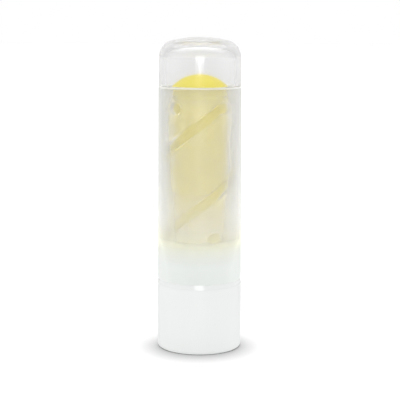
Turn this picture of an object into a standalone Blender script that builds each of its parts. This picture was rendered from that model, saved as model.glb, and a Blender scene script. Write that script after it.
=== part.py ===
"""Twist-up sunscreen stick: a clear and frosted cap over a two-start cam mechanism.

The axis of the stick is Z and its foot stands on Z = 0. The side seen first is -Y.
Turning the base against the cam tube drives the two lugs of the elevator cup, which
stand in straight slots of the guide tube, along the two helical tracks of the cam tube.
"""

import math

import bmesh
import bpy
from mathutils import Matrix, Vector

# Driving dimensions, in metres and degrees.
SEGMENTS = 60
PIN_SEGMENTS = 24
SHOULDER_ARC_STEP = 15.0
CROWN_ARC_STEP = 7.5
ARC_LENGTH = 0.00025
MOST_SETBACK = 0.45
MERGE_DISTANCE = 0.000001
SHARP_ANGLE = 35.0
EDGE_ROUND = 0.00012

# Clearances between the pieces.
SEAT_GAP = 0.0001
PRESS_CLEARANCE = 0.00005
SLIDE_CLEARANCE = 0.0001
TURN_CLEARANCE = 0.00012
CAP_CLEARANCE = 0.00025
CAP_FIT_CLEARANCE = 0.0001
LUG_CLEARANCE = 0.00015

# Sunscreen bullet: a poured stick with a low dome, held in the elevator cup.
BULLET_RADIUS = 0.0056
BULLET_PROUD = 0.00415
BULLET_DOME_RISE = 0.00246
BULLET_EDGE_ROUND = 0.0003

# Elevator cup.
CUP_HEIGHT = 0.0125
CUP_FLOOR = 0.0008
CUP_WALL = 0.0005
CUP_PROUD = 0.0001
LUG_RADIUS = 0.00085
LUG_HEIGHT = 0.0032
RIB_COUNT = 4
RIB_THICKNESS = 0.0006
RIB_DEPTH = 0.0009
RIB_HEIGHT = 0.006

# Guide tube, with two straight slots that are open at the foot.
GUIDE_WALL = 0.00055
GUIDE_LIP_REACH = 0.0006
GUIDE_LIP_THICKNESS = 0.0005
GUIDE_LIP_RIM = 0.00017
SLOT_END_ROUND = 0.9
SLOT_END_STEPS = 5

# Cam tube, with two helical tracks that climb to the right.
CAM_WALL = 0.0008
CAM_LEAD = 0.0329
TWIST_DEGREES = 288.0
TRACK_TOP_ANGLE = 35.0
TRACK_STEP = 12.0
TRACK_END_ANGLES = (12.0, 35.0, 60.0, 80.0)
DWELL_DEGREES = 12.0
NOTCH_WIDTH = 0.0016
TRACK_FOOT = 0.0024
TRACK_HEAD = 0.0018
UPPER_WINDOW_RADIUS = 0.00125
UPPER_WINDOW_ANGLE = -41.0
LOWER_WINDOW_WIDTH = 0.0033
LOWER_WINDOW_HEIGHT = 0.0023
LOWER_WINDOW_ANGLE = 25.5
LOWER_WINDOW_FOOT = 0.0029

# Base shell and the collar that is pressed into it.
BASE_HEIGHT = 0.01325
BASE_WALL = 0.0012
BASE_FLOOR = 0.0013
BASE_FOOT_ROUND = 0.0006
BASE_STEP = 0.00004
FLANGE_HEIGHT = 0.00085
FLANGE_RECESS = 0.00035
PLUG_HEIGHT = 0.0012
COLLAR_HEIGHT = 0.0062
COLLAR_WALL = 0.0006
SPIGOT_LENGTH = 0.005
SPIGOT_LIP_THICKNESS = 0.001
SPIGOT_LIP_REACH = 0.0009

# Cap: a clear dome and a longer frosted skirt, drawn out a little towards its mouth.
CAP_HEADROOM = 0.00595
CAP_CROWN_THICKNESS = 0.00145
CAP_CROWN_RADIUS = 0.025
CAP_SHOULDER_RADIUS = 0.0034
CAP_DOME_GAP = 0.0014
CAP_DOME_WALL = 0.00127
CAP_SKIRT_WALL = 0.00079
CAP_LEDGE_GAP = 0.00175
CAP_DRAFT = 0.00018
CAP_MOUTH_ROUND = 0.0002

# Linear colour, roughness and transmission of each moulded or poured material.
WHITE_SHELL = ((0.84, 0.86, 0.85), 0.45, 0.0)
WHITE_COLLAR = ((0.82, 0.84, 0.84), 0.4, 0.0)
CLEAR_GUIDE = ((0.90, 0.91, 0.88), 0.2, 0.8)
CLEAR_CAM = ((0.90, 0.91, 0.86), 0.25, 0.7)
NATURAL_CUP = ((0.92, 0.92, 0.88), 0.35, 0.0)
YELLOW_BALM = ((0.87, 0.76, 0.16), 0.35, 0.0)
CLEAR_CAP = ((0.93, 0.94, 0.93), 0.08, 0.9)

# Radii, from the bullet outwards.
cup_radius = BULLET_RADIUS + CUP_PROUD
cup_bore = cup_radius - CUP_WALL
stub_radius = cup_bore - PRESS_CLEARANCE
guide_bore = cup_radius + SLIDE_CLEARANCE
guide_radius = guide_bore + GUIDE_WALL
guide_lip_radius = guide_radius + GUIDE_LIP_REACH
cam_bore = guide_radius + TURN_CLEARANCE
cam_radius = cam_bore + CAM_WALL
lug_reach = cam_radius - LUG_CLEARANCE
slot_radius = LUG_RADIUS + LUG_CLEARANCE
cam_wall_middle = (cam_bore + cam_radius) / 2
track_step_length = math.radians(TRACK_STEP) * cam_wall_middle
skirt_bore = cam_radius + CAP_CLEARANCE
skirt_radius = skirt_bore + CAP_SKIRT_WALL
mouth_bore = skirt_bore + CAP_DRAFT
mouth_radius = skirt_radius + CAP_DRAFT
dome_bore = BULLET_RADIUS + CAP_DOME_GAP
dome_radius = dome_bore + CAP_DOME_WALL
base_radius = mouth_radius + BASE_STEP
base_bore = base_radius - BASE_WALL
flange_radius = base_radius - FLANGE_RECESS
plug_radius = mouth_bore - CAP_FIT_CLEARANCE
collar_bore = guide_radius + PRESS_CLEARANCE
collar_radius = collar_bore + COLLAR_WALL
spigot_radius = base_bore - PRESS_CLEARANCE
spigot_lip_radius = collar_bore - SPIGOT_LIP_REACH

# Heights above the foot.
flange_foot = BASE_HEIGHT + SEAT_GAP
flange_top = flange_foot + FLANGE_HEIGHT
spigot_foot = flange_foot - SPIGOT_LENGTH
collar_top = flange_top + COLLAR_HEIGHT
guide_foot = spigot_foot + SPIGOT_LIP_THICKNESS + SEAT_GAP
cam_foot = collar_top + SEAT_GAP
rise = CAM_LEAD * TWIST_DEGREES / 360
track_foot = cam_foot + TRACK_FOOT
track_top = track_foot + rise
cam_top = track_top + TRACK_HEAD
guide_lip_foot = cam_top + SEAT_GAP
guide_top = guide_lip_foot + GUIDE_LIP_THICKNESS
cup_foot = track_foot - LUG_HEIGHT
cup_floor_top = cup_foot + CUP_FLOOR
cup_top = cup_foot + CUP_HEIGHT
bullet_top = guide_top + BULLET_PROUD
bullet_shoulder = cup_top + SEAT_GAP
bullet_foot = cup_floor_top + SEAT_GAP
cap_foot = flange_top + SEAT_GAP
cap_ledge = guide_top + CAP_LEDGE_GAP
cap_ceiling = bullet_top + CAP_HEADROOM
cap_top = cap_ceiling + CAP_CROWN_THICKNESS

# Angles about Z, counted from the front (-Y) towards +X. Lugs and slots wait at the tracks' feet.
slot_angle = TRACK_TOP_ANGLE - TWIST_DEGREES
OPPOSITE = (0.0, 180.0)


def new_collection(name):
    """Makes a collection in the scene."""
    collection = bpy.data.collections.new(name)
    bpy.context.scene.collection.children.link(collection)
    return collection


def facing(angle):
    """Rotation about Z that turns a piece's own +X to this angle from the front."""
    return math.radians(angle - 90)


def new_object(name, mesh, collection):
    """Puts a mesh in the scene as an object, shaded smooth between its sharp edges."""
    mesh.shade_smooth()
    mesh.set_sharp_from_angle(angle=math.radians(SHARP_ANGLE))
    obj = bpy.data.objects.new(name, mesh)
    collection.objects.link(obj)
    return obj


def new_frame(name, height):
    """An empty on the axis that carries the pieces of one body."""
    frame = bpy.data.objects.new(name, None)
    frame.empty_display_size = 0.01
    frame.location = (0, 0, height)
    parts.objects.link(frame)
    return frame


def finish(obj, frame, height, name, look):
    """Hangs a piece on its frame and gives it its own moulded or poured material."""
    colour, roughness, transmission = look
    obj.parent = frame
    obj.location = (0, 0, height - frame.location.z)
    material = bpy.data.materials.new(name)
    material.use_nodes = True
    shader = material.node_tree.nodes["Principled BSDF"]
    shader.inputs["Base Color"].default_value = (*colour, 1.0)
    shader.inputs["Roughness"].default_value = roughness
    shader.inputs["Metallic"].default_value = 0.0
    shader.inputs["Transmission Weight"].default_value = transmission
    material.diffuse_color = (*colour, 1.0)
    obj.data.materials.append(material)
    return obj


def rounded(corners, closed=False):
    """Profile through (radius, height, rounding) corners, each rounding drawn as an arc."""
    points = []
    last = len(corners) - 1
    for index, (x, z, rounding) in enumerate(corners):
        if rounding == 0 or (not closed and index in (0, last)):
            points.append((x, z))
            continue
        x_before, z_before, _ = corners[index - 1]
        x_after, z_after, _ = corners[(index + 1) % len(corners)]
        before = Vector((x_before - x, z_before - z))
        after = Vector((x_after - x, z_after - z))
        half = before.angle(after) / 2
        longest = MOST_SETBACK * min(before.length, after.length)
        setback = min(rounding / math.tan(half), longest)
        radius = setback * math.tan(half)
        towards = (before.normalized() + after.normalized()).normalized()
        centre = Vector((x, z)) + towards * radius / math.sin(half)
        start = Vector((x, z)) + before.normalized() * setback - centre
        turn = start.angle_signed(Vector((x, z)) + after.normalized() * setback - centre)
        steps = max(1, round(abs(turn) * radius / ARC_LENGTH))
        for step in range(steps + 1):
            arm = start.copy()
            arm.rotate(Matrix.Rotation(-turn * step / steps, 2))
            points.append(tuple(centre + arm))
    return points


def dome_outline(radius, top, crown_radius, shoulder_radius):
    """Outline from the axis: a flat crown arc that runs on, without a kink, in a tighter shoulder."""
    lean = math.asin((radius - shoulder_radius) / (crown_radius - shoulder_radius))
    crown_steps = max(2, math.ceil(math.degrees(lean) / CROWN_ARC_STEP))
    shoulder_steps = math.ceil((90 - math.degrees(lean)) / SHOULDER_ARC_STEP)
    shoulder_height = top - crown_radius + (crown_radius - shoulder_radius) * math.cos(lean)
    points = []
    for step in range(crown_steps):
        angle = lean * step / crown_steps
        points.append((crown_radius * math.sin(angle), top - crown_radius * (1 - math.cos(angle))))
    for step in range(shoulder_steps + 1):
        angle = lean + (math.pi / 2 - lean) * step / shoulder_steps
        points.append((
            radius - shoulder_radius + shoulder_radius * math.sin(angle),
            shoulder_height + shoulder_radius * math.cos(angle),
        ))
    return points


def turned(name, profile, collection, closed):
    """Turns a profile once round Z. It runs down the piece's outer side, top to bottom."""
    mesh = bpy.data.meshes.new(name)
    bm = bmesh.new()
    verts = [bm.verts.new((x, 0, z)) for x, z in profile]
    for first, second in zip(verts, verts[1:]):
        bm.edges.new((first, second))
    if closed:
        bm.edges.new((verts[-1], verts[0]))
    bm.to_mesh(mesh)
    bm.free()
    outline = bpy.data.objects.new(name + "_profile", mesh)
    collection.objects.link(outline)
    screw = outline.modifiers.new("Turn", "SCREW")
    screw.axis = "Z"
    screw.steps = SEGMENTS
    screw.render_steps = SEGMENTS
    screw.use_merge_vertices = True
    screw.merge_threshold = MERGE_DISTANCE
    return baked(outline, name, collection)


def baked(source, name, collection):
    """Replaces an object by the mesh that its modifiers make of it."""
    bpy.context.view_layer.update()
    graph = bpy.context.evaluated_depsgraph_get()
    mesh = bpy.data.meshes.new_from_object(source.evaluated_get(graph))
    mesh.name = name
    bpy.data.objects.remove(source)
    return new_object(name, mesh, collection)


def box(name, size, centre, collection, end_round=0.0):
    """A box of the given sides round the given centre; its two upper long edges can be rounded."""
    mesh = bpy.data.meshes.new(name)
    bm = bmesh.new()
    bmesh.ops.create_cube(bm, size=1)
    for vert in bm.verts:
        vert.co = [vert.co[axis] * size[axis] + centre[axis] for axis in range(3)]
    if end_round:
        upper = [edge for edge in bm.edges if all(vert.co.z > centre[2] for vert in edge.verts)]
        along = [edge for edge in upper if edge.verts[0].co.y == edge.verts[1].co.y]
        bmesh.ops.bevel(bm, geom=along, offset=end_round, segments=SLOT_END_STEPS,
                        affect="EDGES", profile=0.5)
    bm.to_mesh(mesh)
    bm.free()
    return new_object(name, mesh, collection)


def radial_pin(name, inner, outer, half_width, half_height, height, collection):
    """A pin along +X from the inner to the outer radius, round or, with unlike halves, oval."""
    mesh = bpy.data.meshes.new(name)
    bm = bmesh.new()
    bmesh.ops.create_cone(bm, cap_ends=True, segments=PIN_SEGMENTS, radius1=1, radius2=1, depth=1)
    for vert in bm.verts:
        across, up, along = vert.co
        reach = (inner + outer) / 2 + along * (outer - inner)
        vert.co = (reach, across * half_width, height + up * half_height)
    bmesh.ops.recalc_face_normals(bm, faces=bm.faces)
    bm.to_mesh(mesh)
    bm.free()
    return new_object(name, mesh, collection)


def track_stations(foot, rest_end, slope):
    """(along, lower edge, upper edge) down a track, measured on the wall from the top of its climb.

    The climb keeps the slot's width square to its run and goes over in a level rest. Both ends
    are half circles.
    """
    reach = slot_radius * math.hypot(1, slope)
    lean = slot_radius * slope / math.hypot(1, slope)
    round_end = [slot_radius * math.cos(math.radians(angle)) for angle in TRACK_END_ANGLES]
    steps = math.ceil(-foot / track_step_length)
    places = [foot - part for part in round_end]
    places += [foot * (1 - step / steps) for step in range(steps + 1)]
    places += [foot - lean, foot + lean, (slot_radius - reach) / slope, (reach - slot_radius) / slope]
    places += [rest_end] + [rest_end + part for part in round_end]
    stations = []
    for along in sorted(places):
        upper = min(along * slope + reach, slot_radius)
        lower = min(along * slope - reach, -slot_radius)
        if along < foot - lean:
            upper = foot * slope + math.sqrt(slot_radius**2 - (along - foot)**2)
        if along < foot + lean:
            lower = foot * slope - math.sqrt(slot_radius**2 - min(0, along - foot)**2)
        if along > rest_end:
            upper = math.sqrt(slot_radius**2 - (along - rest_end)**2)
            lower = -upper
        stations.append((along, lower, upper))
    return stations


def swept_track(name, inner, outer, stations, wall_radius, collection):
    """A cutter swept round Z through the stations, square to the wall from the inner to the outer radius."""
    mesh = bpy.data.meshes.new(name)
    bm = bmesh.new()
    rings = []
    for along, lower, upper in stations:
        angle = along / wall_radius
        corners = ((inner, lower), (outer, lower), (outer, upper), (inner, upper))
        rings.append([bm.verts.new((x * math.cos(angle), x * math.sin(angle), z)) for x, z in corners])
    for ring, following in zip(rings, rings[1:]):
        for index in range(4):
            after = (index + 1) % 4
            bm.faces.new((ring[index], ring[after], following[after], following[index]))
    bm.faces.new(rings[0])
    bm.faces.new(rings[-1])
    bmesh.ops.recalc_face_normals(bm, faces=bm.faces)
    bm.to_mesh(mesh)
    bm.free()
    return new_object(name, mesh, collection)


def cut(piece, cutter, angle, height=0.0, operation="DIFFERENCE"):
    """Cuts, or joins, a hidden helper that is turned to an angle of the piece."""
    cutter.rotation_euler = (0, 0, facing(angle))
    cutter.location = (0, 0, height)
    cutter.hide_render = True
    cutter.display_type = "WIRE"
    cutter.parent = piece
    modifier = piece.modifiers.new(cutter.name, "BOOLEAN")
    modifier.operation = operation
    modifier.solver = "EXACT"
    modifier.object = cutter


def make_base():
    """Opaque shell with a closed, flat foot that carries everything else."""
    profile = rounded([
        (0, BASE_FLOOR, 0),
        (base_bore, BASE_FLOOR, 0),
        (base_bore, BASE_HEIGHT, EDGE_ROUND),
        (base_radius, BASE_HEIGHT, EDGE_ROUND),
        (base_radius, 0, BASE_FOOT_ROUND),
        (0, 0, 0),
    ])
    base = turned("base", profile, parts, closed=False)
    return finish(base, stick, 0, "white_moulded_plastic", WHITE_SHELL)


def make_collar():
    """Ring pressed into the base: its flange is the seam, its plug holds the cap, its tube the guide."""
    profile = rounded([
        (collar_bore, COLLAR_HEIGHT, EDGE_ROUND),
        (collar_radius, COLLAR_HEIGHT, EDGE_ROUND),
        (collar_radius, PLUG_HEIGHT, 0),
        (plug_radius, PLUG_HEIGHT, EDGE_ROUND),
        (plug_radius, 0, 0),
        (flange_radius, 0, EDGE_ROUND),
        (flange_radius, -FLANGE_HEIGHT, 0),
        (spigot_radius, -FLANGE_HEIGHT, 0),
        (spigot_radius, spigot_foot - flange_top, EDGE_ROUND),
        (spigot_lip_radius, spigot_foot - flange_top, 0),
        (spigot_lip_radius, spigot_foot + SPIGOT_LIP_THICKNESS - flange_top, 0),
        (collar_bore, spigot_foot + SPIGOT_LIP_THICKNESS - flange_top, 0),
    ], closed=True)
    collar = turned("collar", profile, parts, closed=True)
    return finish(collar, stick, flange_top, "white_collar_plastic", WHITE_COLLAR)


def make_guide_tube():
    """Clear inner tube: two straight slots let the lugs out, a lip at the rim keeps the cam tube on."""
    length = guide_top - guide_foot
    lip_foot = guide_lip_foot - guide_foot
    profile = rounded([
        (guide_bore, length, EDGE_ROUND),
        (guide_radius, length, 0),
        (guide_lip_radius, lip_foot + GUIDE_LIP_RIM, 0),
        (guide_lip_radius, lip_foot, 0),
        (guide_radius, lip_foot, 0),
        (guide_radius, 0, EDGE_ROUND),
        (guide_bore, 0, EDGE_ROUND),
    ], closed=True)
    guide = turned("guide_tube", profile, parts, closed=True)
    slot_top = track_top + slot_radius - guide_foot
    slot_depth = 2 * (guide_lip_radius - guide_bore)
    for side, start in enumerate(OPPOSITE):
        size = (slot_depth, 2 * slot_radius, slot_top + slot_radius)
        centre = (guide_radius, 0, (slot_top - slot_radius) / 2)
        slot = box(f"guide_slot_{side}", size, centre, cutters, end_round=SLOT_END_ROUND * slot_radius)
        cut(guide, slot, slot_angle + start)
    return finish(guide, stick, guide_foot, "clear_guide_plastic", CLEAR_GUIDE)


def make_cam_tube():
    """Outer tube of the mechanism: two helical tracks, each with a level rest at the top."""
    length = cam_top - cam_foot
    profile = rounded([
        (cam_bore, length, EDGE_ROUND),
        (cam_radius, length, EDGE_ROUND),
        (cam_radius, 0, EDGE_ROUND),
        (cam_bore, 0, EDGE_ROUND),
    ], closed=True)
    cam = turned("cam_tube", profile, parts, closed=True)
    cam.rotation_euler = (0, 0, facing(TRACK_TOP_ANGLE))
    inner = cam_bore - CAM_WALL / 2
    outer = cam_radius + CAM_WALL / 2
    low = track_foot - cam_foot
    high = track_top - cam_foot
    stations = track_stations(
        -math.radians(TWIST_DEGREES) * cam_wall_middle,
        math.radians(DWELL_DEGREES) * cam_wall_middle,
        CAM_LEAD / (2 * math.pi * cam_wall_middle))
    for side, start in enumerate(OPPOSITE):
        # The tube's own +X lies at the top of the first climb, so its angles count from there.
        turn = start + 90
        track = swept_track(f"cam_track_{side}", inner, outer, stations, cam_wall_middle, cutters)
        cut(cam, track, turn, high)
        notch = box(f"cam_notch_{side}", (outer - inner, NOTCH_WIDTH, 2 * low),
                    ((inner + outer) / 2, 0, 0), cutters)
        cut(cam, notch, turn - TWIST_DEGREES)
        window = radial_pin(f"cam_upper_window_{side}", inner, outer,
                            UPPER_WINDOW_RADIUS, UPPER_WINDOW_RADIUS, 0, cutters)
        cut(cam, window, turn + UPPER_WINDOW_ANGLE - TRACK_TOP_ANGLE, high)
        window = radial_pin(f"cam_lower_window_{side}", inner, outer,
                            LOWER_WINDOW_WIDTH / 2, LOWER_WINDOW_HEIGHT / 2, 0, cutters)
        cut(cam, window, turn + LOWER_WINDOW_ANGLE - TRACK_TOP_ANGLE, LOWER_WINDOW_FOOT)
    return finish(cam, stick, cam_foot, "clear_cam_plastic", CLEAR_CAM)


def grip_ribs(name, piece, foot, clearance, operation):
    """Upright ribs on the inside of the cup, or the grooves that they leave in the poured stick."""
    depth = RIB_DEPTH + clearance
    overlap = CUP_WALL / 2
    for index in range(RIB_COUNT):
        size = (depth + overlap, RIB_THICKNESS + 2 * clearance, RIB_HEIGHT + clearance)
        centre = (cup_bore + overlap - size[0] / 2, 0, foot + size[2] / 2)
        rib = box(f"{name}_{index}", size, centre, cutters)
        cut(piece, rib, slot_angle + 360 * (index + 0.5) / RIB_COUNT, operation=operation)


def make_elevator_cup():
    """Cup that carries the stick. Its lugs reach through the guide's slots in the cam's tracks."""
    profile = rounded([
        (0, CUP_FLOOR, 0),
        (cup_bore, CUP_FLOOR, 0),
        (cup_bore, CUP_HEIGHT, EDGE_ROUND),
        (cup_radius, CUP_HEIGHT, EDGE_ROUND),
        (cup_radius, 0, EDGE_ROUND),
        (0, 0, 0),
    ])
    cup = turned("elevator_cup", profile, parts, closed=False)
    grip_ribs("cup_rib", cup, CUP_FLOOR / 2, 0, "UNION")
    for side, start in enumerate(OPPOSITE):
        lug = radial_pin(f"cup_lug_{side}", cup_radius - CUP_WALL / 2, lug_reach,
                         LUG_RADIUS, LUG_RADIUS, 0, cutters)
        cut(cup, lug, slot_angle + start, LUG_HEIGHT, "UNION")
    return finish(cup, elevator, cup_foot, "natural_cup_plastic", NATURAL_CUP)


def make_bullet():
    """Poured stick: a low dome over a straight side, and a narrower stub inside the cup."""
    length = bullet_top - bullet_foot
    dome_ball = (BULLET_RADIUS**2 + BULLET_DOME_RISE**2) / (2 * BULLET_DOME_RISE)
    lean = math.asin(BULLET_RADIUS / dome_ball)
    steps = math.ceil(math.degrees(lean) / CROWN_ARC_STEP)
    dome = [
        (dome_ball * math.sin(angle), length - dome_ball * (1 - math.cos(angle)), 0)
        for angle in (lean * step / steps for step in range(steps))
    ]
    shoulder = bullet_shoulder - bullet_foot
    profile = rounded(dome + [
        (BULLET_RADIUS, length - BULLET_DOME_RISE, BULLET_EDGE_ROUND),
        (BULLET_RADIUS, shoulder, 0),
        (stub_radius, shoulder, 0),
        (stub_radius, 0, EDGE_ROUND),
        (0, 0, 0),
    ])
    bullet = turned("sunscreen_bullet", profile, parts, closed=False)
    groove_foot = cup_foot + CUP_FLOOR / 2 - bullet_foot
    grip_ribs("bullet_groove", bullet, groove_foot, PRESS_CLEARANCE, "DIFFERENCE")
    return finish(bullet, elevator, bullet_foot, "yellow_balm", YELLOW_BALM)


def make_cap():
    """Cap with a thick clear dome over a thinner frosted skirt; an inner step marks where they meet."""
    height = cap_top - cap_foot
    ledge = cap_ledge - cap_foot
    crown = dome_outline(dome_radius, height, CAP_CROWN_RADIUS, CAP_SHOULDER_RADIUS)
    # The first and last corner only lead the rounding of their neighbours, and the outlines hold them.
    ceiling = dome_outline(
        dome_bore, height - CAP_CROWN_THICKNESS,
        CAP_CROWN_RADIUS - CAP_CROWN_THICKNESS, CAP_SHOULDER_RADIUS - CAP_DOME_WALL)
    skirt = rounded([
        (dome_radius, ledge + EDGE_ROUND, 0),
        (dome_radius, ledge, 0),
        (skirt_radius, ledge, 0),
        (mouth_radius, 0, CAP_MOUTH_ROUND),
        (mouth_bore, 0, CAP_MOUTH_ROUND),
        (skirt_bore, ledge, EDGE_ROUND),
        (dome_bore, ledge, EDGE_ROUND),
        (dome_bore, ledge + CAP_DOME_WALL, 0),
    ])
    cap = turned("cap", crown + skirt[1:-1] + ceiling[::-1], parts, closed=False)
    return finish(cap, elevator, cap_foot, "clear_cap_plastic", CLEAR_CAP)


for leftover in list(bpy.data.objects):
    bpy.data.objects.remove(leftover)

parts = new_collection("sunscreen_stick")
cutters = new_collection("cutters")
stick = new_frame("stick_frame", 0.0)
elevator = new_frame("elevator_frame", cup_foot)

make_base()
make_collar()
make_guide_tube()
make_cam_tube()
make_elevator_cup()
make_bullet()
make_cap()
print(f"height {cap_top * 1000:.2f} mm, rise {rise * 1000:.2f} mm, slots at {slot_angle:.1f} degrees")
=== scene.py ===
# %% [markdown]
# # A twist-up sunscreen stick
#
# The object is a lip-balm-size sunscreen stick. It stands on a white base. A tall cap covers it: a clear,
# thick dome on a thinner skirt that is frosted on its outer face. Through the frosting one sees the
# twist-up mechanism and the yellow stick in it.
#
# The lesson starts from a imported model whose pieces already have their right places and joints. Each cell
# then makes one piece again, fine enough for glass and gloss, and gives it the finish of the real
# moulding.

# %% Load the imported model
import math

import bmesh
import bpy
from mathutils import Matrix, Vector


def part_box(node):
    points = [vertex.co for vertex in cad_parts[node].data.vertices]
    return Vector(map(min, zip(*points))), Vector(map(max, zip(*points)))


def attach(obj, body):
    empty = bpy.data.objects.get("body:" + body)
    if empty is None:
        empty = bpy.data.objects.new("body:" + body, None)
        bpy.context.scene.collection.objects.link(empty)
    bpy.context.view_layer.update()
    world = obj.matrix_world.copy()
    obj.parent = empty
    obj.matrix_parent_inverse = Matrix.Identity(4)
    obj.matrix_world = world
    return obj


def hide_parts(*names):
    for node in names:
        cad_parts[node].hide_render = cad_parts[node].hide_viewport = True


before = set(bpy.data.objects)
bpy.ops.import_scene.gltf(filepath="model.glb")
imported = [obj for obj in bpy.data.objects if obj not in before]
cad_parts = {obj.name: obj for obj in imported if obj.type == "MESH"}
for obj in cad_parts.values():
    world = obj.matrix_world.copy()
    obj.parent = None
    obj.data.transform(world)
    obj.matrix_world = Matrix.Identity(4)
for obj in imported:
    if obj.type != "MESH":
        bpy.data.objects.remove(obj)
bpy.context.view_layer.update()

# %% [markdown]
# ## Camera
#
# A product shot of something this small is taken with a long lens from close by. The camera looks down by
# 8.4 degrees. The lens and the distance were found from the photograph: the ellipses at the ledge, at the
# seam and at the foot are the flatter, the nearer they lie to the camera's own height, and their spread
# gives the distance. The small roll stands the object as upright as the photograph has it.

# %% Camera
MM = 0.001
CAMERA_TILT, CAMERA_ROLL = 8.4, 0.215
CAMERA_DISTANCE = 249.0 * MM
CAMERA_LENS, CAMERA_SENSOR = 110.0, 36.0
NEAREST_SEEN = 10.0 * MM
AIM = Vector((0.10 * MM, 0, 30.22 * MM))


def aimed(obj, place, target):
    """Puts a lamp or camera in place and turns it to a target."""
    obj.location = place
    obj.rotation_euler = (Vector(target) - Vector(place)).to_track_quat("-Z", "Y").to_euler()
    bpy.context.scene.collection.objects.link(obj)
    return obj


tilt = math.radians(CAMERA_TILT)
camera_data = bpy.data.cameras.new("camera")
camera_data.lens = CAMERA_LENS
camera_data.sensor_width = CAMERA_SENSOR
camera_data.clip_start = NEAREST_SEEN
camera = aimed(
    bpy.data.objects.new("camera", camera_data),
    AIM + CAMERA_DISTANCE * Vector((0, -math.cos(tilt), math.sin(tilt))), AIM)
camera.rotation_euler.rotate_axis("Z", math.radians(CAMERA_ROLL))
bpy.context.scene.camera = camera
bpy.context.scene.view_settings.view_transform = "Standard"
print("camera at, mm:", [round(v * 1000, 1) for v in camera.location])

# %% [markdown]
# ## Colours and nodes
#
# Colours are written as the eye knows them, in sRGB hex, and one function turns them to the linear values
# that Blender's shaders work in. One more function adds a shader node with its settings and links, so
# that each material below reads as a list of what it is made of.

# %% Helpers for colours and nodes


def linear(hex_colour):
    """Linear RGBA of an sRGB hex colour such as #F4F4F2."""
    parts = [int(hex_colour[i:i + 2], 16) / 255 for i in (1, 3, 5)]
    return (*[c / 12.92 if c <= 0.04045 else ((c + 0.055) / 1.055) ** 2.4 for c in parts], 1.0)


def add_node(tree, kind, inputs=None, stops=(), **settings):
    """Adds a node, sets its properties, and gives each input a value or a link from another node's output.

    Stops are the (place, colour or grey level) pairs of a colour ramp.
    """
    made = tree.nodes.new(kind)
    for name, value in settings.items():
        setattr(made, name, value)
    for index, (place, colour) in enumerate(stops):
        elements = made.color_ramp.elements
        if index == 0:
            elements.remove(elements[1])
        stop = elements[0] if index == 0 else elements.new(place)
        stop.position = place
        stop.color = (colour, colour, colour, 1) if isinstance(colour, float) else colour
    for name, value in (inputs or {}).items():
        socket = made.inputs[name]
        if isinstance(value, bpy.types.NodeSocket):
            tree.links.new(value, socket)
        else:
            socket.default_value = value
    return made


def new_material(name):
    """A material whose node tree holds only its output. Returns the material, its tree and that output."""
    material = bpy.data.materials.new(name)
    material.use_nodes = True
    material.node_tree.nodes.clear()
    return material, material.node_tree, add_node(material.node_tree, "ShaderNodeOutputMaterial")


print("mid grey #808080, linear:", round(linear("#808080")[0], 3))

# %% [markdown]
# ## Light tent
#
# The shot was made in a light tent: white all round, with the darker opening for the camera in front.
# Clear plastic has hardly a look of its own. It shows the tent, and so its greys come from the tent's
# darker front and sides.
#
# The world could be one even white, but then the dome would vanish. So the world gives diffuse surfaces
# plain even light, and what gloss and clear plastic mirror or let through is the tent, chosen by the kind
# of ray. The background is white for the camera alone, so no lamp has to bleach it. Because the world
# isn't the same for every ray, it isn't sampled as a lamp.

# %% Light tent
TENT_SHADES = ((-1.0, 0.25), (0.0, 0.55), (0.7, 0.70), (0.94, 0.83), (1.0, 0.88))  # (front to back, level)
PLAIN_LEVEL = 1.0
WHITE = (1, 1, 1, 1)
NO_BOUNCE = 0.5  # the count of diffuse bounces lies under this while there was none

world = bpy.data.worlds.new("light_tent")
bpy.context.scene.world = world
world.use_nodes = True
world.cycles.sampling_method = "NONE"
tree = world.node_tree
tree.nodes.clear()
direction = add_node(tree, "ShaderNodeTexCoord").outputs["Generated"]
axes = add_node(tree, "ShaderNodeSeparateXYZ", {"Vector": direction})
turned = add_node(tree, "ShaderNodeMapRange", {
    "Value": axes.outputs["Y"], "From Min": -1.0, "From Max": 1.0})
shades = add_node(tree, "ShaderNodeValToRGB", {"Fac": turned.outputs["Result"]},
                  stops=[((y + 1) / 2, level) for y, level in TENT_SHADES])
tent = add_node(tree, "ShaderNodeBackground", {"Color": shades.outputs["Color"], "Strength": 1.0})
plain = add_node(tree, "ShaderNodeBackground", {"Color": WHITE, "Strength": PLAIN_LEVEL})
backdrop = add_node(tree, "ShaderNodeBackground", {"Color": WHITE, "Strength": 1.0})
path = add_node(tree, "ShaderNodeLightPath")
from_diffuse = add_node(tree, "ShaderNodeMath", {
    0: path.outputs["Diffuse Depth"], 1: NO_BOUNCE}, operation="GREATER_THAN")
seen = add_node(tree, "ShaderNodeMixShader", {
    0: from_diffuse.outputs[0], 1: tent.outputs[0], 2: plain.outputs[0]})
shown = add_node(tree, "ShaderNodeMixShader", {
    0: path.outputs["Is Camera Ray"], 1: seen.outputs[0], 2: backdrop.outputs[0]})
add_node(tree, "ShaderNodeOutputWorld", {"Surface": shown.outputs[0]})
print("tent stops:", [(round(s.position, 3), round(s.color[0], 2)) for s in shades.color_ramp.elements])

# %% [markdown]
# ## Floor
#
# The stick stands on a sweep of white paper, and the only thing that shows of it is a soft shadow round
# the foot. A shadow catcher would give that too, but it needs compositing. A plain sheet under even light
# gives it by itself. The sheet runs far to the back and the sides, and ends not far behind the camera.

# %% Floor
FLOOR_SIDE, FLOOR_FRONT = 3.0, 0.40

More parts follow.
